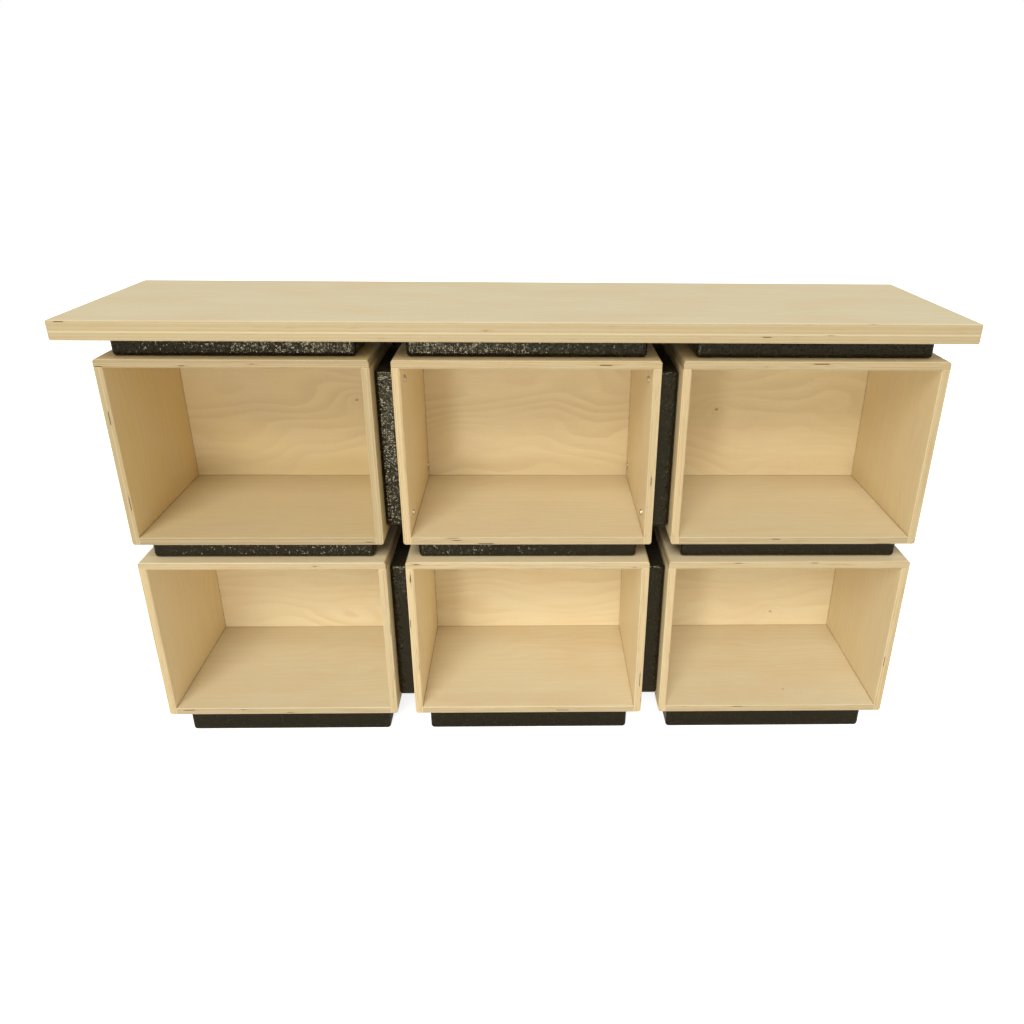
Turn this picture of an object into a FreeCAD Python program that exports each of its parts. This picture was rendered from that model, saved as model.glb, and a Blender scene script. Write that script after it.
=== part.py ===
"""Cube storage unit: six open plywood boxes, joined by black spacer blocks, under a laminated top board.

Frame: millimetres, +Z up, +X to the right of someone facing the open fronts, +Y towards the back.
The origin is on the floor, under the middle of the top board.
"""
import os

import FreeCAD
import Part
from FreeCAD import Vector

# ---------------------------------------------------------------- driving dimensions
# Boxes
BOX_WIDTH = 380.0
BOX_HEIGHT = 280.0
BOX_DEPTH = 292.0
WALL_PLY = 12.0              # top, bottom and side panels
BACK_PLY = 12.0              # back panel, set in flush with the rear edges
CORNER_RADIUS = 4.0          # the four outer corners that run front to back
FRONT_ARRIS = 1.5            # rounding of the outer front edge
REAR_ARRIS = 1.0             # rounding of the outer rear edge
MOUTH_CHAMFER = 1.2          # easing of the inner front edge

# Columns and rows
COLUMN_GAP = 30.0            # thickness of the upright blocks
ROW_GAP = 30.0               # thickness of the flat blocks
FOOT_HEIGHT = 54.0

# Top board
BOARD_UPPER_PLY = 15.0
BOARD_LOWER_PLY = 12.0
BOARD_END_OVERHANG = 30.0
BOARD_FRONT_OVERHANG = 26.0
BOARD_REAR_OVERHANG = 40.0
BOARD_SHIFT = 9.0            # the boxes stand this far to the right of the board's middle
BOARD_CORNER_RADIUS = 3.0    # corners seen from above
BOARD_ARRIS = 2.5            # rounding along the top and bottom edges
LAYER_ARRIS = 0.4            # small chamfer each side of the glue line

# Black blocks
BLOCK_RADIUS = 6.0           # rounding on all edges
FLAT_BLOCK_INSET = 20.0      # flat blocks stand in from the box on all four sides
UPRIGHT_TOP_INSET = 21.0     # upright blocks stop short of the box, top and bottom
UPRIGHT_BOTTOM_INSET = 16.0
UPRIGHT_FRONT_INSET = 32.0
UPRIGHT_REAR_INSET = 12.0
FOOT_END_INSET = 20.0
FOOT_FRONT_INSET = 32.0
FOOT_REAR_INSET = 32.0

# Screws
SHANK_RADIUS = 2.25
HEAD_RADIUS = 4.75
HEAD_HEIGHT = 3.2            # a pan head, which stands proud of the panel that it holds
HEAD_CROWN = 1.6             # rounding of the head's rim
POINT_LENGTH = 4.0
DRIVE_SLOT_WIDTH = 1.0
DRIVE_SLOT_DEPTH = 1.8
DRIVE_SLOT_RIM = 0.4         # flat left around the cross recess, inside the rounding
FOOT_RECESS_DEPTH = 10.0     # round recess under a foot that a head sits in
SHANK_CLEARANCE = 0.25       # radial, through the first panel and the block
THREAD_CLEARANCE = 0.05      # radial, in the piece that the thread bites
RECESS_CLEARANCE = 0.5       # radial, around a head in its recess
POINT_CLEARANCE = 0.5        # past the screw's point
TIP_COVER = 2.5              # wood left beyond the point in a wall panel
BOARD_BITE = 20.0            # how far the top screws go into the board
UPRIGHT_SCREW_INSET_Y = 12.0  # from the upright block's front and rear faces
UPRIGHT_SCREW_INSET_Z = 36.0  # from the box's top and bottom faces
FLAT_SCREW_INSET_X = 45.0    # from the flat block's ends
FLAT_SCREW_INSET_Y = 40.0    # from its front and rear faces

# ---------------------------------------------------------------- worked out from them
COLUMNS = {"left": -1, "centre": 0, "right": 1}
ROWS = ("lower", "upper")
COLUMN_PITCH = BOX_WIDTH + COLUMN_GAP
ROW_WIDTH = len(COLUMNS) * BOX_WIDTH + (len(COLUMNS) - 1) * COLUMN_GAP
BOARD_WIDTH = ROW_WIDTH + 2 * BOARD_END_OVERHANG
BOARD_DEPTH = BOARD_FRONT_OVERHANG + BOX_DEPTH + BOARD_REAR_OVERHANG
BOARD_FRONT = -BOARD_DEPTH / 2
BOX_FRONT = BOARD_FRONT + BOARD_FRONT_OVERHANG
BOX_BACK = BOX_FRONT + BOX_DEPTH
LOWER_FLOOR = FOOT_HEIGHT
UPPER_FLOOR = LOWER_FLOOR + BOX_HEIGHT + ROW_GAP
BOX_FLOOR = {"lower": LOWER_FLOOR, "upper": UPPER_FLOOR}
BOARD_UNDERSIDE = UPPER_FLOOR + BOX_HEIGHT + ROW_GAP
LAYER_LINE = BOARD_UNDERSIDE + BOARD_LOWER_PLY
BOARD_TOP = LAYER_LINE + BOARD_UPPER_PLY
DRIVE_SLOT_LENGTH = 2 * (HEAD_RADIUS - HEAD_CROWN - DRIVE_SLOT_RIM)
WALL_BITE = WALL_PLY - TIP_COVER

Z = Vector(0, 0, 1)
X = Vector(1, 0, 0)


def box_left(column):
    """X of the left outer face of a column's boxes."""
    return BOARD_SHIFT + COLUMNS[column] * COLUMN_PITCH - BOX_WIDTH / 2


def block(low, high):
    """A plain rectangular solid between two corners."""
    size = Vector(*high) - Vector(*low)
    return Part.makeBox(size.x, size.y, size.z, Vector(*low))


def edges_where(shape, test):
    """The edges whose two end points both pass the test."""
    return [edge for edge in shape.Edges if all(test(vertex.Point) for vertex in edge.Vertexes)]


def runs_along(edge, axis):
    """True for a straight edge along the X, Y or Z axis, given as 0, 1 or 2."""
    first, last = [vertex.Point for vertex in edge.Vertexes]
    return all(abs(first[i] - last[i]) < 1e-6 for i in range(3) if i != axis)


def near(value, target):
    return abs(value - target) < 1e-6


# ---------------------------------------------------------------- boxes
def box_envelope(column, row):
    """The outside of one box, as a solid with its corners and edges rounded."""
    x0, z0 = box_left(column), BOX_FLOOR[row]
    shape = block((x0, BOX_FRONT, z0), (x0 + BOX_WIDTH, BOX_BACK, z0 + BOX_HEIGHT))
    shape = shape.makeFillet(CORNER_RADIUS, [edge for edge in shape.Edges if runs_along(edge, 1)])
    shape = shape.makeFillet(FRONT_ARRIS, edges_where(shape, lambda point: near(point.y, BOX_FRONT)))
    return shape.makeFillet(REAR_ARRIS, edges_where(shape, lambda point: near(point.y, BOX_BACK)))


def mouth_flare(column, row):
    """The chamfer around the inside of the open front, as a solid to cut away."""
    x0, z0 = box_left(column) + WALL_PLY, BOX_FLOOR[row] + WALL_PLY
    x1, z1 = x0 + BOX_WIDTH - 2 * WALL_PLY, z0 + BOX_HEIGHT - 2 * WALL_PLY
    frames = []
    for depth in (-MOUTH_CHAMFER, MOUTH_CHAMFER):
        y, grow = BOX_FRONT + depth, MOUTH_CHAMFER - depth
        corners = [Vector(x0 - grow, y, z0 - grow), Vector(x1 + grow, y, z0 - grow),
                   Vector(x1 + grow, y, z1 + grow), Vector(x0 - grow, y, z1 + grow)]
        frames.append(Part.makePolygon(corners + corners[:1]))
    return Part.makeLoft(frames, True, True)


def box_panels(column, row):
    """The five panels of one box. The top covers the sides, the bottom and back sit between them."""
    x0, z0 = box_left(column), BOX_FLOOR[row]
    x1, z1 = x0 + BOX_WIDTH, z0 + BOX_HEIGHT
    inner_x0, inner_x1 = x0 + WALL_PLY, x1 - WALL_PLY
    inner_z0, inner_z1 = z0 + WALL_PLY, z1 - WALL_PLY
    back_front = BOX_BACK - BACK_PLY
    plain = {
        "top": block((x0, BOX_FRONT, inner_z1), (x1, BOX_BACK, z1)),
        "bottom": block((inner_x0, BOX_FRONT, z0), (inner_x1, BOX_BACK, inner_z0)),
        "left_side": block((x0, BOX_FRONT, z0), (inner_x0, BOX_BACK, inner_z1)),
        "right_side": block((inner_x1, BOX_FRONT, z0), (x1, BOX_BACK, inner_z1)),
        "back": block((inner_x0, back_front, inner_z0), (inner_x1, BOX_BACK, inner_z1)),
    }
    envelope = box_envelope(column, row)
    flare = mouth_flare(column, row)
    panels = {name: shape.common(envelope).cut(flare) for name, shape in plain.items() if name != "back"}
    panels["back"] = plain["back"]
    return panels


# ---------------------------------------------------------------- top board
def board_layer(bottom, top, outer_face, glued_face):
    """One layer of the board: rounded at its outer face, with a fine chamfer at the glued one."""
    low = (-BOARD_WIDTH / 2, BOARD_FRONT, bottom)
    high = (BOARD_WIDTH / 2, BOARD_FRONT + BOARD_DEPTH, top)
    shape = block(low, high)
    shape = shape.makeFillet(BOARD_CORNER_RADIUS, [edge for edge in shape.Edges if runs_along(edge, 2)])
    shape = shape.makeFillet(BOARD_ARRIS, edges_where(shape, lambda point: near(point.z, outer_face)))
    return shape.makeChamfer(LAYER_ARRIS, edges_where(shape, lambda point: near(point.z, glued_face)))


# ---------------------------------------------------------------- black blocks
def rounded_block(low, high):
    """A coated block with every edge and corner rounded."""
    shape = block(low, high)
    return shape.makeFillet(BLOCK_RADIUS, shape.Edges)


def flat_block(column, bottom, top, end_inset, front_inset, rear_inset):
    """A block that lies flat under a column's box."""
    x0 = box_left(column)
    low = (x0 + end_inset, BOX_FRONT + front_inset, bottom)
    high = (x0 + BOX_WIDTH - end_inset, BOX_BACK - rear_inset, top)
    return rounded_block(low, high), low, high


def upright_block(side, row):
    """A block that stands in the gap beside the centre box."""
    x0 = box_left("centre") - COLUMN_GAP if side == "left" else box_left("right") - COLUMN_GAP
    low = (x0, BOX_FRONT + UPRIGHT_FRONT_INSET, BOX_FLOOR[row] + UPRIGHT_BOTTOM_INSET)
    high = (x0 + COLUMN_GAP, BOX_BACK - UPRIGHT_REAR_INSET, BOX_FLOOR[row] + BOX_HEIGHT - UPRIGHT_TOP_INSET)
    return rounded_block(low, high), low, high


# ---------------------------------------------------------------- screws and their holes
def aim(shape, start, direction):
    """Turns a shape built along +Z so that it starts at a point and runs along a direction."""
    turned = shape.copy()
    turned.Placement = FreeCAD.Placement(start, FreeCAD.Rotation(Z, direction))
    return turned


def screw(length):
    """A pan head wood screw along +Z, seated at the origin, with a cross recess in its head."""
    head = Part.makeCylinder(HEAD_RADIUS, HEAD_HEIGHT, Z * -HEAD_HEIGHT)
    head = head.makeFillet(HEAD_CROWN, edges_where(head, lambda point: near(point.z, -HEAD_HEIGHT)))
    shank = Part.makeCylinder(SHANK_RADIUS, length - POINT_LENGTH)
    point = Part.makeCone(SHANK_RADIUS, 0, POINT_LENGTH, Z * (length - POINT_LENGTH))
    body = head.fuse([shank, point]).removeSplitter()
    half_length, half_width = DRIVE_SLOT_LENGTH / 2, DRIVE_SLOT_WIDTH / 2
    for half_x, half_y in ((half_length, half_width), (half_width, half_length)):
        slot = block((-half_x, -half_y, -HEAD_HEIGHT), (half_x, half_y, DRIVE_SLOT_DEPTH - HEAD_HEIGHT))
        body = body.cut(slot)
    return body


def screw_hole(recess_depth, grip, length):
    """The hole for one screw along +Z: any recess for the head, clearance through the grip, and thread."""
    clear = Part.makeCylinder(SHANK_RADIUS + SHANK_CLEARANCE, grip)
    thread_length = recess_depth + length + POINT_CLEARANCE - grip
    thread = Part.makeCylinder(SHANK_RADIUS + THREAD_CLEARANCE, thread_length, Z * grip)
    if not recess_depth:
        return clear.fuse(thread)
    recess = Part.makeCylinder(HEAD_RADIUS + RECESS_CLEARANCE, recess_depth)
    return recess.fuse([clear, thread])


def fasten(shapes, name, starts, direction, recess_depth, grip, bite, pieces):
    """Adds a group of screws to the shapes, and drills each piece that they pass."""
    length = grip - recess_depth + bite
    holes = [aim(screw_hole(recess_depth, grip, length), start, direction) for start in starts]
    screws = [aim(screw(length), start + direction * recess_depth, direction) for start in starts]
    for piece in pieces:
        shapes[piece] = shapes[piece].cut(holes)
    shapes[name] = Part.makeCompound(screws)


def corner_starts(low, high, inset_x, inset_y, z):
    """Four points in from the corners of a flat block, at one height."""
    return [Vector(x, y, z) for x in (low[0] + inset_x, high[0] - inset_x)
            for y in (low[1] + inset_y, high[1] - inset_y)]


# ---------------------------------------------------------------- assembly
def build():
    """Every piece by its name."""
    shapes = {}
    for row in ROWS:
        for column in COLUMNS:
            for panel, shape in box_panels(column, row).items():
                shapes[f"{row}_{column}_box_{panel}"] = shape
    shapes["board_lower_layer"] = board_layer(BOARD_UNDERSIDE, LAYER_LINE, BOARD_UNDERSIDE, LAYER_LINE)
    shapes["board_upper_layer"] = board_layer(LAYER_LINE, BOARD_TOP, BOARD_TOP, LAYER_LINE)
    for column in COLUMNS:
        add_foot(shapes, column)
        add_middle_block(shapes, column)
        add_top_block(shapes, column)
    for row in ROWS:
        for side in ("left", "right"):
            add_upright_block(shapes, side, row)
    return shapes


def add_foot(shapes, column):
    """A foot block, screwed up into the lower box's floor from below."""
    name = f"foot_{column}"
    shapes[name], low, high = flat_block(column, 0, LOWER_FLOOR,
                                         FOOT_END_INSET, FOOT_FRONT_INSET, FOOT_REAR_INSET)
    starts = corner_starts(low, high, FLAT_SCREW_INSET_X, FLAT_SCREW_INSET_Y, 0)
    fasten(shapes, f"{name}_screws", starts, Z, FOOT_RECESS_DEPTH, FOOT_HEIGHT, WALL_BITE,
           [name, f"lower_{column}_box_bottom"])


def add_middle_block(shapes, column):
    """A block between the rows, screwed up from inside the lower box."""
    name = f"middle_spacer_{column}"
    bottom = LOWER_FLOOR + BOX_HEIGHT
    shapes[name], low, high = flat_block(column, bottom, UPPER_FLOOR,
                                         FLAT_BLOCK_INSET, FLAT_BLOCK_INSET, FLAT_BLOCK_INSET)
    starts = corner_starts(low, high, FLAT_SCREW_INSET_X, FLAT_SCREW_INSET_Y, bottom - WALL_PLY)
    fasten(shapes, f"{name}_screws", starts, Z, 0, WALL_PLY + ROW_GAP, WALL_BITE,
           [f"lower_{column}_box_top", name, f"upper_{column}_box_bottom"])


def add_top_block(shapes, column):
    """A block under the board, screwed up from inside the upper box."""
    name = f"top_spacer_{column}"
    bottom = UPPER_FLOOR + BOX_HEIGHT
    shapes[name], low, high = flat_block(column, bottom, BOARD_UNDERSIDE,
                                         FLAT_BLOCK_INSET, FLAT_BLOCK_INSET, FLAT_BLOCK_INSET)
    starts = corner_starts(low, high, FLAT_SCREW_INSET_X, FLAT_SCREW_INSET_Y, bottom - WALL_PLY)
    fasten(shapes, f"{name}_screws", starts, Z, 0, WALL_PLY + ROW_GAP, BOARD_BITE,
           [f"upper_{column}_box_top", name, "board_lower_layer", "board_upper_layer"])


def add_upright_block(shapes, side, row):
    """A block between two columns. In the upper row its screws start in the centre box, in the lower
    row in the outer box."""
    name = f"side_spacer_{row}_{side}"
    shapes[name], low, high = upright_block(side, row)
    outward = X if side == "right" else -X
    centre_wall = low[0] - WALL_PLY if side == "right" else high[0] + WALL_PLY
    outer_wall = high[0] + WALL_PLY if side == "right" else low[0] - WALL_PLY
    start_x, direction = (centre_wall, outward) if row == "upper" else (outer_wall, -outward)
    lower_z = BOX_FLOOR[row] + UPRIGHT_SCREW_INSET_Z
    upper_z = BOX_FLOOR[row] + BOX_HEIGHT - UPRIGHT_SCREW_INSET_Z
    starts = [Vector(start_x, y, z)
              for y in (low[1] + UPRIGHT_SCREW_INSET_Y, high[1] - UPRIGHT_SCREW_INSET_Y)
              for z in (lower_z, upper_z)]
    facing = "left" if side == "right" else "right"
    fasten(shapes, f"{name}_screws", starts, direction, 0, WALL_PLY + COLUMN_GAP, WALL_BITE,
           [f"{row}_centre_box_{side}_side", name, f"{row}_{side}_box_{facing}_side"])


def main():
    os.makedirs("parts", exist_ok=True)
    shapes = build()
    for name, shape in shapes.items():
        shape.exportStep(f"parts/{name}.step")
    print(len(shapes), "pieces; overall", BOARD_WIDTH, "x", BOARD_DEPTH, "x", BOARD_TOP)


main()
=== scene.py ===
# Cube storage unit: six birch plywood boxes in two rows of three, held apart by black
# coated blocks, under a board of two plywood layers. Every length is in metres.
import math
import random

import bmesh
import bpy
from mathutils import Matrix, Vector, noise


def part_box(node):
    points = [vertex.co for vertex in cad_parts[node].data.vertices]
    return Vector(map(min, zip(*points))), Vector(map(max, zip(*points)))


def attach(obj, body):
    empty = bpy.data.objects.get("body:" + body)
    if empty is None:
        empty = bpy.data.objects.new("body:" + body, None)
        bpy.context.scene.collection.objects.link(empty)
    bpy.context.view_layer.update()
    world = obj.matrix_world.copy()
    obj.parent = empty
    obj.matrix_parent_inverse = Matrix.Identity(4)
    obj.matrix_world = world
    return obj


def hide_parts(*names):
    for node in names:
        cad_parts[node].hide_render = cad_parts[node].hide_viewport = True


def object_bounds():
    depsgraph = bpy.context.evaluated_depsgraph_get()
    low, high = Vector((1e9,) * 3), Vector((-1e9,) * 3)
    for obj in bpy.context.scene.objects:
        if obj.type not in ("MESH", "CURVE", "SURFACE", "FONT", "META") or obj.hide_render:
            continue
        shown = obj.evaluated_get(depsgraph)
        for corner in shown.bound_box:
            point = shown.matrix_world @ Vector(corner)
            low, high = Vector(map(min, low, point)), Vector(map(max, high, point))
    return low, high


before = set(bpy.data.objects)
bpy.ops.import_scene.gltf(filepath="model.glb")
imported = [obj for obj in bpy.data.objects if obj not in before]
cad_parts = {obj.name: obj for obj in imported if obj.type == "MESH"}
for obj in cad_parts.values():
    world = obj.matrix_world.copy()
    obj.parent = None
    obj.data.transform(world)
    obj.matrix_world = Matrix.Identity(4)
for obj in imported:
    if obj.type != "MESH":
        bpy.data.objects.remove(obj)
cad_low, cad_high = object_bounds()

COLUMNS = ("left", "centre", "right")
ROWS = ("upper", "lower")


# ---------------------------------------------------------------- building node trees
class Nodes:
    """Adds nodes to one tree and joins them as they are made."""

    def __init__(self, tree):
        self.tree = tree

    def join(self, socket, value):
        if isinstance(value, bpy.types.NodeSocket):
            self.tree.links.new(value, socket)
        else:
            socket.default_value = value

    def add(self, kind, inputs, **settings):
        made = self.tree.nodes.new("ShaderNode" + kind)
        for name, value in settings.items():
            setattr(made, name, value)
        for name, value in inputs.items():
            self.join(made.inputs[name], value)
        return made

    def math(self, operation, *values):
        made = self.add("Math", {}, operation=operation)
        for socket, value in zip(made.inputs, values):
            self.join(socket, value)
        return made.outputs[0]

    def vector(self, operation, *values):
        made = self.add("VectorMath", {}, operation=operation)
        for socket, value in zip(made.inputs, values):
            self.join(socket, value)
        return made.outputs[0]

    def step(self, value, start, end):
        """A smooth step: 0 up to start and 1 from end on."""
        made = self.add(
            "MapRange",
            {"Value": value, "From Min": start, "From Max": end},
            interpolation_type="SMOOTHSTEP",
        )
        return made.outputs["Result"]

    def between(self, factor, first, second):
        """A number part of the way from the first to the second."""
        made = self.add("Mix", {}, data_type="FLOAT")
        for index, value in ((0, factor), (2, first), (3, second)):
            self.join(made.inputs[index], value)
        return made.outputs[0]

    def tint(self, factor, first, second):
        """A colour part of the way from the first to the second."""
        made = self.add("Mix", {}, data_type="RGBA")
        for index, value in ((0, factor), (6, first), (7, second)):
            self.join(made.inputs[index], value)
        return made.outputs[2]

    def triple(self, value):
        """A vector with the same number on all three axes."""
        return self.add("CombineXYZ", dict.fromkeys("XYZ", value)).outputs[0]

    def split(self, vector):
        """A vector's three numbers."""
        return self.add("SeparateXYZ", {"Vector": vector}).outputs

    def clouds(self, vector, stretch, detail=2.0, roughness=0.5):
        """Soft noise from 0 to 1, with as many lumps to the metre as stretch says on each axis."""
        scaled = self.vector("MULTIPLY", vector, stretch)
        made = self.add(
            "TexNoise", {"Vector": scaled, "Scale": 1.0, "Detail": detail, "Roughness": roughness}
        )
        return made.outputs["Fac"]


def new_group(name, inputs, outputs):
    """A shader node group with named sockets, and the two nodes that hold them."""
    group = bpy.data.node_groups.new(name, "ShaderNodeTree")
    for socket_name, kind in inputs:
        group.interface.new_socket(socket_name, in_out="INPUT", socket_type="NodeSocket" + kind)
    for socket_name, kind in outputs:
        group.interface.new_socket(socket_name, in_out="OUTPUT", socket_type="NodeSocket" + kind)
    given = group.nodes.new("NodeGroupInput")
    wanted = group.nodes.new("NodeGroupOutput")
    return group, Nodes(group), given.outputs, wanted.inputs


# ---------------------------------------------------------------- birch plywood
PALE_BIRCH = (0.85, 0.757, 0.56, 1)
HONEY_BIRCH = (0.866, 0.677, 0.345, 1)
ROSY_BIRCH = (0.84, 0.69, 0.475, 1)
LATE_WOOD = (0.66, 0.49, 0.28, 1)
FLECK_BROWN = (0.40, 0.25, 0.11, 1)
END_GRAIN = (0.50, 0.36, 0.19, 1)
GLUE_BROWN = (0.25, 0.155, 0.075, 1)
# The colour of the gaps is painted shade inside the holes.
VOID_PAINTED_SHADE = (0.055, 0.032, 0.016, 1)
KNOT_BROWN = (0.33, 0.19, 0.085, 1)
# The seam colour is partly glue and partly painted shade in the inner corners.
SEAM_GLUE_AND_SHADE = (0.42, 0.27, 0.12, 1)
SAWN_EDGE = (0.475, 0.39, 0.245, 1)

# How strongly each mark tints the wood, from 0 to 1.
ROSY_STRENGTH = 0.75
STREAK_STRENGTH = 0.11
FLECK_STRENGTH = 0.2
KNOT_STRENGTH = 0.7
SEAM_GLUE_AND_SHADE_STRENGTH = 0.65
PLY_TONE_STRENGTH = 0.6
GLUE_STRENGTH = 0.42
STAIN_STRENGTH = 0.42
VOID_SHADE_STRENGTH = 0.9

# Lumps of grain to the metre: along the fibre, across it and through the sheet.
FINE_GRAIN = (26.0, 560.0, 560.0)
STREAKS = (6.0, 110.0, 110.0)
FLECKS = (170.0, 1500.0, 1500.0)
BLOTCHES = (7.0, 13.0, 13.0)
SLOW_WAVES = (4.2, 8.5, 8.5)
QUICK_WAVES = (13.0, 45.0, 45.0)
RING_PATCHES = (3.5, 12.0, 12.0)
KNOT_GRAIN = (150.0, 700.0, 700.0)
UNEVEN_END_GRAIN = (14.0, 14.0, 240.0)
LOOSE_SPOTS = (23.0, 23.0, 23.0)

# Lengths in metres.
SEAM_WIDTH = 0.0004
SEAM_SPREAD = 0.004
GLUE_LINE = (0.00022, 0.00006)
VOID_EDGE = 0.0003
VOID_DEPTH = 0.0006
GRAIN_DEPTH = 0.00005
FLECK_DEPTH = 0.00004
END_GRAIN_DEPTH = 0.00008
GLUE_DEPTH = 0.00006


def birch_plywood_group():
    """Birch veneers glued crosswise, solid all through: face figure, ply edges, glue and voids."""
    group, nodes, given, wanted = new_group(
        "birch plywood",
        (
            ("Place", "Vector"),
            ("Facing", "Vector"),
            ("Thickness", "Float"),
            ("Plies", "Float"),
            ("Seed", "Float"),
            ("Tone", "Float"),
            ("Honey", "Float"),
            ("Figure", "Float"),
            ("Sawn", "Float"),
            ("Ply Contrast", "Float"),
            ("Gaps", "Float"),
            ("Rings per Metre", "Float"),
            ("Knot Place", "Vector"),
            ("Knot Shape", "Vector"),
            ("Knot Size", "Float"),
            ("Seam Low", "Vector"),
            ("Seam High", "Vector"),
        ),
        (("Color", "Color"), ("Roughness", "Float"), ("Height", "Float")),
    )
    x, y, z = nodes.split(given["Place"])
    facing_x, facing_y, facing_z = nodes.split(nodes.vector("ABSOLUTE", given["Facing"]))

    ply_thickness = nodes.math("DIVIDE", given["Thickness"], given["Plies"])
    level = nodes.math("DIVIDE", z, ply_thickness)
    last_ply = nodes.math("SUBTRACT", given["Plies"], 1)
    ply = nodes.math("MAXIMUM", nodes.math("MINIMUM", nodes.math("FLOOR", level), last_ply), 0)
    crosswise = nodes.math("MODULO", ply, 2)
    along = nodes.between(crosswise, x, y)
    across = nodes.between(crosswise, y, x)
    # Each ply of each sheet has its own piece of the patterns.
    shift = nodes.math("MULTIPLY_ADD", ply, 1.37, nodes.math("MULTIPLY", given["Seed"], 11.3))
    shift = nodes.triple(shift)
    fibre = nodes.add("CombineXYZ", {"X": along, "Y": across, "Z": z}).outputs[0]
    fibre = nodes.vector("ADD", fibre, shift)

    # A knot bends the rings round itself.
    from_knot = nodes.vector("SUBTRACT", given["Place"], given["Knot Place"])
    from_knot = nodes.vector("MULTIPLY", from_knot, given["Knot Shape"])
    knot_distance = nodes.add("VectorMath", {0: from_knot}, operation="LENGTH").outputs["Value"]
    knot_size = nodes.math("MAXIMUM", given["Knot Size"], 0.0001)
    knot_reach = nodes.math("DIVIDE", knot_distance, knot_size)
    knot_swirl = nodes.math("EXPONENT", nodes.math("MULTIPLY", knot_reach, -0.3))
    knot_grain = nodes.clouds(fibre, KNOT_GRAIN, 2.0)
    knot = nodes.step(nodes.math("MULTIPLY_ADD", knot_grain, 0.7, knot_reach), 1.35, 0.5)

    # Year rings, cut at a shallow slant by the peeling knife.
    slow = nodes.clouds(fibre, SLOW_WAVES, 1.0)
    quick = nodes.clouds(fibre, QUICK_WAVES, 2.0)
    rings = nodes.math("MULTIPLY", across, given["Rings per Metre"])
    rings = nodes.math("MULTIPLY_ADD", slow, 8.5, rings)
    rings = nodes.math("MULTIPLY_ADD", quick, 0.5, rings)
    rings = nodes.math("MULTIPLY_ADD", knot_swirl, 2.6, rings)
    ring = nodes.math("FRACT", rings)
    late = nodes.math("MULTIPLY", nodes.step(ring, 0.1, 0.85), nodes.step(ring, 1.0, 0.86))
    ring_strength = nodes.step(nodes.clouds(fibre, RING_PATCHES, 1.0), 0.32, 0.72)
    late = nodes.math("MULTIPLY", late, nodes.between(ring_strength, 0.15, 1.0))

    fine = nodes.clouds(fibre, FINE_GRAIN, 3.0, 0.6)
    streak = nodes.clouds(fibre, STREAKS, 2.0)
    flecks = nodes.step(nodes.clouds(fibre, FLECKS, 1.0), 0.63, 0.76)
    blotch = nodes.step(nodes.clouds(fibre, BLOTCHES, 2.0), 0.35, 0.75)

    color = nodes.tint(given["Honey"], PALE_BIRCH, HONEY_BIRCH)
    color = nodes.tint(nodes.math("MULTIPLY", blotch, ROSY_STRENGTH), color, ROSY_BIRCH)
    color = nodes.tint(nodes.math("MULTIPLY", late, given["Figure"]), color, LATE_WOOD)
    for grain in (nodes.step(streak, 0.3, 0.8), nodes.step(fine, 0.4, 0.8)):
        color = nodes.tint(nodes.math("MULTIPLY", grain, STREAK_STRENGTH), color, LATE_WOOD)
    color = nodes.tint(nodes.math("MULTIPLY", flecks, FLECK_STRENGTH), color, FLECK_BROWN)
    color = nodes.tint(nodes.math("MULTIPLY", knot, KNOT_STRENGTH), color, KNOT_BROWN)

    # Glue and the painted shade of the inner corner darken the line where the panel's face meets
    # the next panel.
    past_low = nodes.vector("SUBTRACT", given["Place"], given["Seam Low"])
    past_high = nodes.vector("SUBTRACT", given["Seam High"], given["Place"])
    nearest_x, nearest_y, nearest_z = nodes.split(nodes.vector("MINIMUM", past_low, past_high))
    from_seam = nodes.math("MINIMUM", nearest_x, nearest_y)
    seam_width = nodes.math("MULTIPLY_ADD", streak, SEAM_SPREAD, SEAM_WIDTH)
    seam = nodes.step(from_seam, seam_width, 0.0)
    seam = nodes.math("MULTIPLY", seam, nodes.math("GREATER_THAN", nearest_z, 0))
    color = nodes.tint(nodes.math("MULTIPLY", seam, SEAM_GLUE_AND_SHADE_STRENGTH), color, SEAM_GLUE_AND_SHADE)

    # Only the sawn edges show the end grain, the glue and the gaps in the inner plies.
    edge = nodes.step(facing_z, 0.97, 0.75)
    middle = nodes.math("MULTIPLY", given["Thickness"], 0.5)
    off_middle = nodes.math("ABSOLUTE", nodes.math("SUBTRACT", z, middle))
    inner_reach = nodes.math("MULTIPLY_ADD", ply_thickness, -1.0, middle)
    inner = nodes.math("LESS_THAN", off_middle, inner_reach)
    sawn = nodes.math("MULTIPLY", given["Sawn"], nodes.between(inner, 0.62, 1.0))
    color = nodes.tint(nodes.math("MULTIPLY", edge, sawn), color, SAWN_EDGE)
    uneven = nodes.clouds(nodes.vector("ADD", given["Place"], shift), UNEVEN_END_GRAIN, 3.0)
    end_strength = nodes.between(nodes.step(uneven, 0.4, 0.64), 0.08, 0.9)
    end_grain = nodes.math("MULTIPLY", nodes.between(crosswise, facing_x, facing_y), edge)
    shade = nodes.math("MULTIPLY", end_grain, end_strength)
    shade = nodes.math("MULTIPLY", shade, given["Ply Contrast"])
    color = nodes.tint(shade, color, END_GRAIN)
    ply_tone = nodes.add("TexWhiteNoise", {"Vector": shift}, noise_dimensions="3D").outputs["Value"]
    ply_tone = nodes.step(ply_tone, 0.5, 1.0)
    ply_tone = nodes.math("MULTIPLY", nodes.math("MULTIPLY", ply_tone, edge), PLY_TONE_STRENGTH)
    ply_tone = nodes.math("MULTIPLY", ply_tone, given["Ply Contrast"])
    color = nodes.tint(ply_tone, color, LATE_WOOD)

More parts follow.
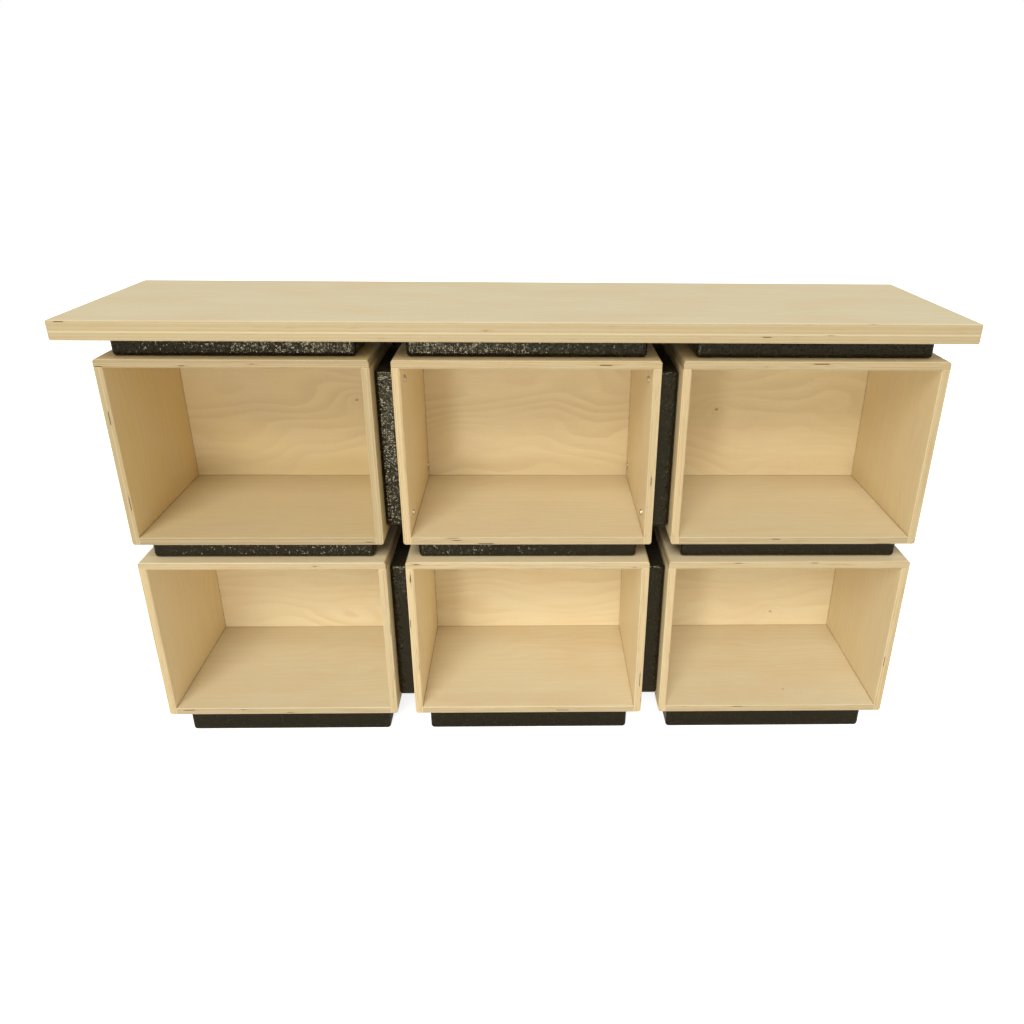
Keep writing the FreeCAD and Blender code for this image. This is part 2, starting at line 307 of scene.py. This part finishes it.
    into_ply = nodes.math("SUBTRACT", level, ply)
    from_glue = nodes.math("MINIMUM", into_ply, nodes.math("SUBTRACT", 1, into_ply))
    from_glue = nodes.math("MULTIPLY", from_glue, ply_thickness)
    glue_reach = nodes.math("MULTIPLY_ADD", ply_thickness, -0.5, middle)
    inside = nodes.math("MULTIPLY", nodes.math("LESS_THAN", off_middle, glue_reach), edge)
    glue = nodes.math("MULTIPLY", nodes.step(from_glue, *GLUE_LINE), inside)
    color = nodes.tint(nodes.math("MULTIPLY", glue, GLUE_STRENGTH), color, GLUE_BROWN)

    ply_shift = nodes.math("MULTIPLY", ply, 0.173)
    gap_place = nodes.add("CombineXYZ", {"X": x, "Y": y, "Z": ply_shift}).outputs[0]
    sheet_shift = nodes.add("CombineXYZ", {"X": given["Seed"]}).outputs[0]
    gap_place = nodes.vector("ADD", gap_place, sheet_shift)
    loose = nodes.math("ADD", nodes.clouds(gap_place, LOOSE_SPOTS, 0.0), given["Gaps"])
    stained = nodes.math("MULTIPLY", nodes.step(loose, 0.67, 0.81), inside)
    color = nodes.tint(nodes.math("MULTIPLY", stained, STAIN_STRENGTH), color, FLECK_BROWN)
    # The gaps are painted near black, as painted shade inside the holes, and the bump sinks them.
    gap = nodes.step(loose, 0.788, 0.812)
    gap = nodes.math("MULTIPLY", gap, nodes.step(from_glue, 0.0, VOID_EDGE))
    gap = nodes.math("MULTIPLY", gap, inside)
    color = nodes.tint(nodes.math("MULTIPLY", gap, VOID_SHADE_STRENGTH), color, VOID_PAINTED_SHADE)
    color = nodes.add("HueSaturation", {"Value": given["Tone"], "Color": color}).outputs[0]

    roughness = nodes.math("MULTIPLY_ADD", fine, 0.16, 0.40)
    roughness = nodes.math("MULTIPLY_ADD", end_grain, 0.14, roughness)
    roughness = nodes.math("MULTIPLY_ADD", gap, 0.3, roughness)

    height = nodes.math("MULTIPLY", fine, GRAIN_DEPTH)
    height = nodes.math("MULTIPLY_ADD", flecks, -FLECK_DEPTH, height)
    end_height = nodes.math("MULTIPLY", fine, END_GRAIN_DEPTH)
    height = nodes.math("MULTIPLY_ADD", end_grain, end_height, height)
    height = nodes.math("MULTIPLY_ADD", glue, -GLUE_DEPTH, height)
    height = nodes.math("MULTIPLY_ADD", gap, -VOID_DEPTH, height)
    nodes.join(wanted["Color"], color)
    nodes.join(wanted["Roughness"], roughness)
    nodes.join(wanted["Height"], height)
    return group


def new_material(name):
    material = bpy.data.materials.new(name)
    material.use_nodes = True
    return material, Nodes(material.node_tree), material.node_tree.nodes["Principled BSDF"]


def finish_with(nodes, shader, group, inputs):
    """Places a finish's group and joins it to the shader."""
    finish = nodes.add("Group", {}, node_tree=group)
    for name, value in inputs.items():
        nodes.join(finish.inputs[name], value)
    nodes.join(shader.inputs["Base Color"], finish.outputs["Color"])
    nodes.join(shader.inputs["Roughness"], finish.outputs["Roughness"])
    bump = nodes.add("Bump", {"Height": finish.outputs["Height"], "Distance": 1.0})
    nodes.join(shader.inputs["Normal"], bump.outputs["Normal"])
    return finish, bump


# How a sheet lies in its panel: its grain, its width and its thickness, as columns.
LYING = Matrix.Identity(3)
STANDING_SIDE = Matrix(((0, 0, 1), (0, -1, 0), (1, 0, 0)))
STANDING_BACK = Matrix(((1, 0, 0), (0, 0, 1), (0, -1, 0)))
NO_SEAM = Vector((1, 1, 1))


def plywood_panel(node, lie, sheet, seam_low=-NO_SEAM, seam_high=NO_SEAM):
    """Gives a panel its own sheet of birch plywood. The seams are two corners of the room that its
    inner face looks into, in the frame's own axes."""
    material, nodes, shader = new_material("birch plywood " + node.replace("_", " "))
    low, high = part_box(node)
    centre = (low + high) / 2
    half = Vector(abs(value) / 2 for value in lie.transposed() @ (high - low))
    corner = centre - lie @ Vector((0, 0, half.z))
    turn = lie.to_euler()
    place = nodes.add("TexCoord", {})
    mapping = nodes.add(
        "Mapping",
        {"Vector": place.outputs["Object"], "Location": corner, "Rotation": turn},
        vector_type="TEXTURE",
    )
    facing = nodes.add(
        "Mapping", {"Vector": place.outputs["Normal"], "Rotation": turn}, vector_type="TEXTURE"
    )
    ends = [lie.transposed() @ (seam - corner) for seam in (seam_low, seam_high)]
    inputs = {
        "Place": mapping.outputs[0],
        "Facing": facing.outputs[0],
        "Thickness": 2 * half.z,
        "Plies": sheet.get("plies", 9),
        "Seed": sheet["seed"],
        "Tone": sheet.get("tone", 1.0),
        "Honey": sheet.get("honey", 1.0),
        "Figure": sheet.get("figure", 0.2),
        "Sawn": sheet.get("sawn", 0.74),
        "Ply Contrast": sheet.get("contrast", 1.3),
        "Gaps": sheet.get("gaps", 0.0),
        "Rings per Metre": sheet.get("rings", 60.0),
        "Knot Shape": (0.6, 1, 0),
        "Seam Low": [min(pair) for pair in zip(*ends)],
        "Seam High": [max(pair) for pair in zip(*ends)],
    }
    if "knot" in sheet:
        along, across, through, size, shape = sheet["knot"]
        inputs["Knot Place"] = (along * half.x, across * half.y, through * 2 * half.z)
        inputs["Knot Size"] = size
        inputs["Knot Shape"] = shape
    finish_with(nodes, shader, BIRCH, inputs)
    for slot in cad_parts[node].material_slots:
        slot.material = material


ROUND_KNOT = (0.7, 1, 0)
LONG_STREAK = (0.16, 1, 0)
SPLIT = (0.14, 1, 1)
# How far along and across from the panel's middle, as parts of its half size, how far through its
# thickness, then the size and the shape.
KNOTS = {
    "upper_left_box_back": (0.65, -0.07, 0, 0.0035, ROUND_KNOT),
    "upper_centre_box_left_side": (0.37, 0.99, 1, 0.0026, SPLIT),
    "upper_centre_box_right_side": (0.55, 0.98, 0, 0.0026, SPLIT),
    "upper_right_box_back": (-0.45, 0.05, 0, 0.0035, ROUND_KNOT),
    "lower_centre_box_back": (0.07, -0.12, 0, 0.0016, LONG_STREAK),
    "lower_left_box_back": (-0.05, -0.24, 0, 0.0016, LONG_STREAK),
    "lower_right_box_back": (0.35, 0.76, 0, 0.003, ROUND_KNOT),
    "lower_right_box_bottom": (0.19, -0.66, 0, 0.0025, ROUND_KNOT),
}
# Each box's lightness, honey colour and sawn-edge darkness, partly the wood's own and partly
# painted shade.
# The painted shade darkens the upper row and the left boxes, the upper left box and its edges most.
BOX_WOOD_AND_SHADE = {
    "upper_left": (0.88, 0.65, 1.0),
    "upper_centre": (0.965, 0.33, 0.74),
    "upper_right": (0.97, 0.3, 0.8),
    "lower_left": (0.985, 0.14, 0.7),
    "lower_centre": (1.03, 0.1, 0.68),
    "lower_right": (1.0, 0.1, 0.7),
}
# Tone and honey differ by wall partly as painted light and shade: darker floors, lighter backs and
# walls.
WALL_STYLES_AND_SHADE = {
    "top": (LYING, {"figure": 0.16, "tone": 0.95, "honey": 0.0}),
    "bottom": (LYING, {"figure": 0.15, "tone": 0.885, "honey": -0.12}),
    "left_side": (STANDING_SIDE, {"figure": 0.14, "tone": 1.1, "honey": 0.3}),
    "right_side": (STANDING_SIDE, {"figure": 0.14, "tone": 1.02, "honey": 0.12}),
    "back": (STANDING_BACK, {"figure": 0.36, "rings": 42.0, "tone": 1.06, "honey": 0.0}),
}
BOARD_LAYERS = {
    "board_upper_layer": {"plies": 11, "contrast": 0.7, "seed": 8.2, "honey": 0.0},
    "board_lower_layer": {"plies": 9, "contrast": 0.55, "seed": 2.6, "honey": 0.1},
}
# The room inside a box is marked out this much larger, so that its walls lie within it.
SKIN = Vector((0.0002, 0.0002, 0.0002))


def plywood_box(name, sheets):
    """Dresses a box's five panels, each in its own sheet, with the seams of the room inside."""
    box = name + "_box"
    floor_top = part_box(box + "_bottom")[1].z
    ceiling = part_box(box + "_top")[0].z
    left_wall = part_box(box + "_left_side")[1].x
    right_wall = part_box(box + "_right_side")[0].x
    back_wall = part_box(box + "_back")[0].y
    room_low = Vector((left_wall, -1, floor_top)) - SKIN
    room_high = Vector((right_wall, back_wall, ceiling)) + SKIN
    tone, honey, sawn = BOX_WOOD_AND_SHADE[name]
    for part, (lie, style) in WALL_STYLES_AND_SHADE.items():
        node = f"{box}_{part}"
        sheet = dict(style, seed=sheets.uniform(1, 90), sawn=sawn)
        sheet["tone"] *= tone * sheets.uniform(0.985, 1.015)
        sheet["honey"] = max(0.0, honey + sheet["honey"])
        if node in KNOTS:
            sheet["knot"] = KNOTS[node]
        plywood_panel(node, lie, sheet, room_low, room_high)


BIRCH = birch_plywood_group()
sheets = random.Random(7)
for row in ROWS:
    for column in COLUMNS:
        plywood_box(f"{row}_{column}", sheets)
for layer, sheet in BOARD_LAYERS.items():
    plywood_panel(layer, LYING, dict(sheet, figure=0.1, sawn=0.95, gaps=0.035))


# ---------------------------------------------------------------- black coated blocks
COATING_BLACK = (0.004, 0.003, 0.0012, 1)
# The lighter black is a painted sheen on the facet tops.
COATING_PAINTED_SHEEN = (0.009, 0.007, 0.003, 1)
# The speck colour is a painted glint on a few facets.
COATING_PAINTED_GLINT = (0.05, 0.042, 0.028, 1)
FACET_WIDTH = 0.0026
FACET_TILT = 0.26
FACET_DEPTH = 0.00008
COATING_GRAIN_DEPTH = 0.00005
CUT_FACE_ROUGHNESS = 0.95


def textured_coating_group():
    """A thick black coating of small facets, each tilted its own way, with a fine grain."""
    group, nodes, given, wanted = new_group(
        "textured coating",
        (("Place", "Vector"), ("Facing", "Vector"), ("Facet", "Float"), ("Tilt", "Float")),
        (("Color", "Color"), ("Roughness", "Float"), ("Height", "Float"), ("Normal", "Vector")),
    )
    per_metre = nodes.math("DIVIDE", 1.0, given["Facet"])
    facets = nodes.add("TexVoronoi", {"Vector": given["Place"], "Scale": per_metre}).outputs
    tilt = nodes.vector("SUBTRACT", facets["Color"], (0.5, 0.5, 0.5))
    tilt = nodes.vector("MULTIPLY", tilt, nodes.triple(given["Tilt"]))
    normal = nodes.vector("NORMALIZE", nodes.vector("ADD", given["Facing"], tilt))
    # A few chosen facets get painted glints: their middles are painted light, as highlights.
    chance = nodes.add("TexWhiteNoise", {"Vector": facets["Color"]}).outputs["Value"]
    chosen = nodes.step(chance, 0.82, 0.99)
    painted_glint = nodes.math("MULTIPLY", nodes.step(facets["Distance"], 0.45, 0.25), chosen)
    grain = nodes.clouds(given["Place"], (1900.0, 1900.0, 1900.0), 2.0, 0.6)
    patches = nodes.clouds(given["Place"], (18.0, 18.0, 18.0), 2.0)
    # Each facet's middle is painted a little lighter, as a painted sheen on the facet tops.
    color = nodes.tint(nodes.step(facets["Distance"], 0.55, 0.15), COATING_BLACK, COATING_PAINTED_SHEEN)
    color = nodes.tint(painted_glint, color, COATING_PAINTED_GLINT)
    roughness = nodes.math("MULTIPLY_ADD", patches, 0.06, 0.1)
    roughness = nodes.math("MULTIPLY_ADD", grain, 0.05, roughness)
    # The faces that lie up and down are left as they were cut, and have no shine.
    upward = nodes.split(nodes.vector("ABSOLUTE", given["Facing"]))["Z"]
    roughness = nodes.between(nodes.step(upward, 0.75, 0.95), roughness, CUT_FACE_ROUGHNESS)
    height = nodes.math("MULTIPLY", nodes.step(facets["Distance"], 0.75, 0.05), FACET_DEPTH)
    height = nodes.math("MULTIPLY_ADD", grain, COATING_GRAIN_DEPTH, height)
    nodes.join(wanted["Color"], color)
    nodes.join(wanted["Roughness"], roughness)
    nodes.join(wanted["Height"], height)
    nodes.join(wanted["Normal"], normal)
    return group


def black_coating(coating):
    material, nodes, shader = new_material("black textured coating")
    place = nodes.add("TexCoord", {})
    inputs = {
        "Place": place.outputs["Object"],
        "Facing": place.outputs["Normal"],
        "Facet": FACET_WIDTH,
        "Tilt": FACET_TILT,
    }
    finish, bump = finish_with(nodes, shader, coating, inputs)
    nodes.join(bump.inputs["Normal"], finish.outputs["Normal"])
    shader.inputs["Specular IOR Level"].default_value = 0.42
    shader.inputs["Specular Tint"].default_value = (1, 0.9, 0.68, 1)
    return material


BLOCK_RADIUS = 0.006
ROUNDING_SEGMENTS = 8
RELIEF_PITCH = 0.0012
PEBBLE_WIDTH = 0.0036
PEBBLE_DEPTH = 0.00016
SMALLEST_FLAT_FACE = 0.005  # in square metres


def parallel(edge, axis):
    run = edge.verts[1].co - edge.verts[0].co
    return abs(run[axis]) > 0.999 * run.length


def pebble_sink(point):
    """How far the coating's surface sinks between its pebbles, from 0 to 1."""
    wander = noise.noise_vector(point / (2.5 * PEBBLE_WIDTH)) * 0.5
    distances = noise.voronoi(point / PEBBLE_WIDTH + wander)[0]
    return min(1.0, (distances[0] / 0.8) ** 2)


def coated_block(node, coating):
    """A rounded block whose open sides carry the coating's pebbles; its two faces are flat."""
    low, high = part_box(node)
    size = high - low
    thin = min(range(3), key=lambda axis: size[axis])
    mesh = bmesh.new()
    bmesh.ops.create_cube(mesh, size=1)
    bmesh.ops.scale(mesh, vec=size, verts=mesh.verts)
    bmesh.ops.translate(mesh, vec=(low + high) / 2, verts=mesh.verts)
    bmesh.ops.bevel(
        mesh,
        geom=mesh.edges[:],
        offset=BLOCK_RADIUS,
        affect="EDGES",
        segments=ROUNDING_SEGMENTS,
        profile=0.5,
        material=-1,
    )
    mesh.normal_update()
    square_on = [f for f in mesh.faces if abs(f.normal[thin]) > 0.999]
    flat_faces = [f for f in square_on if f.calc_area() > SMALLEST_FLAT_FACE]
    bmesh.ops.delete(mesh, geom=flat_faces, context="FACES_ONLY")
    for axis in range(3):
        wide_edges = [e for e in mesh.edges if e.calc_length() > 3 * RELIEF_PITCH]
        long_edges = [e for e in wide_edges if parallel(e, axis)]
        if long_edges:
            cuts = round(long_edges[0].calc_length() / RELIEF_PITCH) - 1
            bmesh.ops.subdivide_edges(mesh, edges=long_edges, cuts=cuts, use_grid_fill=True)
    bmesh.ops.edgeloop_fill(mesh, edges=[e for e in mesh.edges if e.is_boundary])
    bmesh.ops.recalc_face_normals(mesh, faces=mesh.faces)
    mesh.normal_update()
    for vertex in mesh.verts:
        depth = min(vertex.co[thin] - low[thin], high[thin] - vertex.co[thin])
        fade = min(1.0, max(0.0, depth / BLOCK_RADIUS * 2))
        vertex.co -= vertex.normal * (pebble_sink(vertex.co) * PEBBLE_DEPTH * fade)
    for face in mesh.faces:
        face.smooth = True
    return piece_from(mesh, "coated_" + node, coating, "black_textured_coating", node)


def piece_from(mesh, name, material, slot, *nodes):
    data = bpy.data.meshes.new(name)
    mesh.to_mesh(data)
    mesh.free()
    data.materials.append(material)
    piece = bpy.data.objects.new(name, data)
    bpy.context.scene.collection.objects.link(piece)
    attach(piece, "root")
    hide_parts(*nodes)
    return piece


coating_black = black_coating(textured_coating_group())
FLAT_BLOCKS = ("foot", "middle_spacer", "top_spacer")
block_nodes = [f"{kind}_{column}" for kind in FLAT_BLOCKS for column in COLUMNS]
block_nodes += [f"side_spacer_{row}_{side}" for row in ROWS for side in ("left", "right")]
for node in block_nodes:
    coated_block(node, coating_black)


# ---------------------------------------------------------------- screws
ZINC_BRIGHT = (0.80, 0.76, 0.66, 1)
ZINC_DULL = (0.58, 0.52, 0.42, 1)
BRUSHING_DEPTH = 0.00005


def zinc_plated_steel():
    material, nodes, shader = new_material("zinc plated steel")
    place = nodes.add("TexCoord", {})
    brushed = nodes.clouds(place.outputs["Object"], (900.0, 900.0, 900.0), 3.0)
    cloudy = nodes.clouds(place.outputs["Object"], (160.0, 160.0, 160.0), 2.0)
    nodes.join(shader.inputs["Base Color"], nodes.tint(cloudy, ZINC_BRIGHT, ZINC_DULL))
    nodes.join(shader.inputs["Roughness"], nodes.math("MULTIPLY_ADD", brushed, 0.22, 0.2))
    height = nodes.math("MULTIPLY", brushed, BRUSHING_DEPTH)
    bump = nodes.add("Bump", {"Height": height, "Distance": 1.0})
    nodes.join(shader.inputs["Normal"], bump.outputs["Normal"])
    shader.inputs["Metallic"].default_value = 1.0
    return material


zinc = zinc_plated_steel()
for node in block_nodes:
    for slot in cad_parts[node + "_screws"].material_slots:
        slot.material = zinc


# ---------------------------------------------------------------- floor, light and camera
WARM_WHITE = (1.0, 0.968, 0.84)
FLOOR_PALE = (0.86, 0.86, 0.86, 1)
FLOOR_GLOW = (0.97, 0.98, 1, 1)
FLOOR_REACH = 8


def pale_floor():
    mesh = bmesh.new()
    bmesh.ops.create_grid(mesh, x_segments=1, y_segments=1, size=FLOOR_REACH)
    data = bpy.data.meshes.new("pale floor")
    mesh.to_mesh(data)
    mesh.free()
    floor = bpy.data.objects.new("pale_floor", data)
    bpy.context.scene.collection.objects.link(floor)
    material, nodes, shader = new_material("pale floor")
    shader.inputs["Base Color"].default_value = FLOOR_PALE
    shader.inputs["Roughness"].default_value = 0.9
    shader.inputs["Emission Color"].default_value = FLOOR_GLOW
    seen = nodes.add("LightPath", {}).outputs["Is Camera Ray"]
    nodes.join(shader.inputs["Emission Strength"], nodes.math("MULTIPLY", seen, 0.85))
    data.materials.append(material)


def soft_light(name, place, target, width, height, power):
    lamp = bpy.data.lights.new(name, "AREA")
    lamp.shape = "RECTANGLE"
    lamp.size, lamp.size_y = width, height
    lamp.energy = power
    lamp.color = WARM_WHITE
    light = bpy.data.objects.new(name, lamp)
    light.location = place
    light.rotation_euler = (Vector(target) - Vector(place)).to_track_quat("-Z", "Y").to_euler()
    bpy.context.scene.collection.objects.link(light)


def soft_sun(name, towards, spread, strength):
    """Light from far off, from a direction, spread over an angle in degrees."""
    lamp = bpy.data.lights.new(name, "SUN")
    lamp.angle = math.radians(spread)
    lamp.energy = strength
    lamp.color = WARM_WHITE
    light = bpy.data.objects.new(name, lamp)
    light.rotation_euler = Vector(towards).to_track_quat("Z", "Y").to_euler()
    bpy.context.scene.collection.objects.link(light)


def white_surroundings(strength):
    """Soft warm light from all round. The camera itself sees plain white."""
    world = bpy.data.worlds.new("white surroundings")
    world.use_nodes = True
    nodes = Nodes(world.node_tree)
    background = world.node_tree.nodes["Background"]
    seen = nodes.add("LightPath", {}).outputs["Is Camera Ray"]
    nodes.join(background.inputs["Color"], nodes.tint(seen, (*WARM_WHITE, 1), (1, 1, 1, 1)))
    nodes.join(background.inputs["Strength"], nodes.between(seen, strength, 1.0))
    bpy.context.scene.world = world


def add_camera(place, pitch, yaw, roll, lens, shift_x, shift_y):
    """Pitch is below the horizon, yaw is away from +Y towards +X, roll is anticlockwise."""
    camera = bpy.data.objects.new("camera", bpy.data.cameras.new("camera"))
    bpy.context.scene.collection.objects.link(camera)
    level = math.cos(pitch)
    forward = Vector((math.sin(yaw) * level, math.cos(yaw) * level, -math.sin(pitch)))
    level_right = Vector((math.cos(yaw), -math.sin(yaw), 0))
    level_up = level_right.cross(forward)
    right = level_right * math.cos(roll) + level_up * math.sin(roll)
    up = level_up * math.cos(roll) - level_right * math.sin(roll)
    turn = Matrix((right, up, -forward)).transposed()
    camera.matrix_world = Matrix.Translation(place) @ turn.to_4x4()
    camera.data.sensor_width = 36
    camera.data.lens = lens
    camera.data.shift_x = shift_x
    camera.data.shift_y = shift_y
    camera.data.clip_start = 0.05
    bpy.context.scene.camera = camera


pale_floor()
white_surroundings(strength=0.44)
middle = (cad_low + cad_high) / 2
soft_sun("frontal", towards=(-0.2, -1.0, 0.86), spread=30, strength=2.2)
soft_light("level", (-0.2, -2.6, 0.75), middle, width=1.2, height=0.8, power=3.5)
soft_light("low", (-0.52, -2.1, 0.14), middle, width=0.22, height=0.22, power=6.5)
add_camera(
    place=Vector((0.0129, -1.434, 0.9334)),
    pitch=0.4787,
    yaw=0.0286,
    roll=0.0101,
    lens=32.03,
    shift_x=-0.0407,
    shift_y=0.0859,
)
bpy.context.scene.view_settings.view_transform = "Standard"
